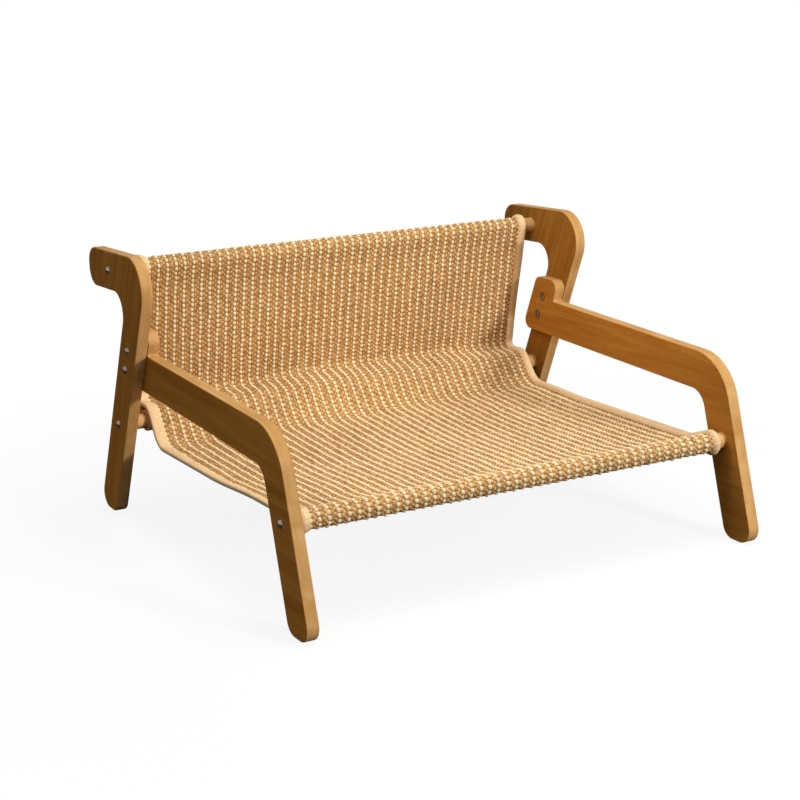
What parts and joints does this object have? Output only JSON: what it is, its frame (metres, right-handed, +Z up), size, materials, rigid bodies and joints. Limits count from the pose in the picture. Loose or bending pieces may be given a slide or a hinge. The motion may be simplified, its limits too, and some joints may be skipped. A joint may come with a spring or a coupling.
{
  "type": "cat hammock",
  "caption": "Low cat hammock: a woven sling hung on wooden rails between bolted side frames with hooked rear legs and bent arms.",
  "frame": {"origin": "on the floor, under the middle of the box round the whole hammock", "axes": "+X across the hammock, to the right as seen from the front, +Y from the front rail to the back, +Z up"},
  "size_m": [0.5046, 0.4452, 0.2724],
  "materials": {
    "board_wood": "satin",
    "rail_wood": "satin",
    "insert_brass": "satin",
    "bolt_steel": "satin",
    "weave": "matte",
    "hem_cloth": "matte"
  },
  "bodies": {
    "root": {"left_rear_leg": "board_wood", "right_rear_leg": "board_wood", "left_arm": "board_wood", "right_arm": "board_wood", "top_rail": "rail_wood", "lower_rail": "rail_wood", "front_rail": "rail_wood", "top_rail_inserts": "insert_brass", "lower_rail_inserts": "insert_brass", "front_rail_inserts": "insert_brass", "top_rail_bolts": "bolt_steel", "lower_rail_bolts": "bolt_steel", "front_rail_bolts": "bolt_steel", "left_arm_bolts": "bolt_steel", "right_arm_bolts": "bolt_steel", "left_arm_nuts": "bolt_steel", "right_arm_nuts": "bolt_steel", "lower_rail_sleeve": "weave", "sling": "weave", "left_hem": "hem_cloth", "right_hem": "hem_cloth"}
  },
  "joints": []
}
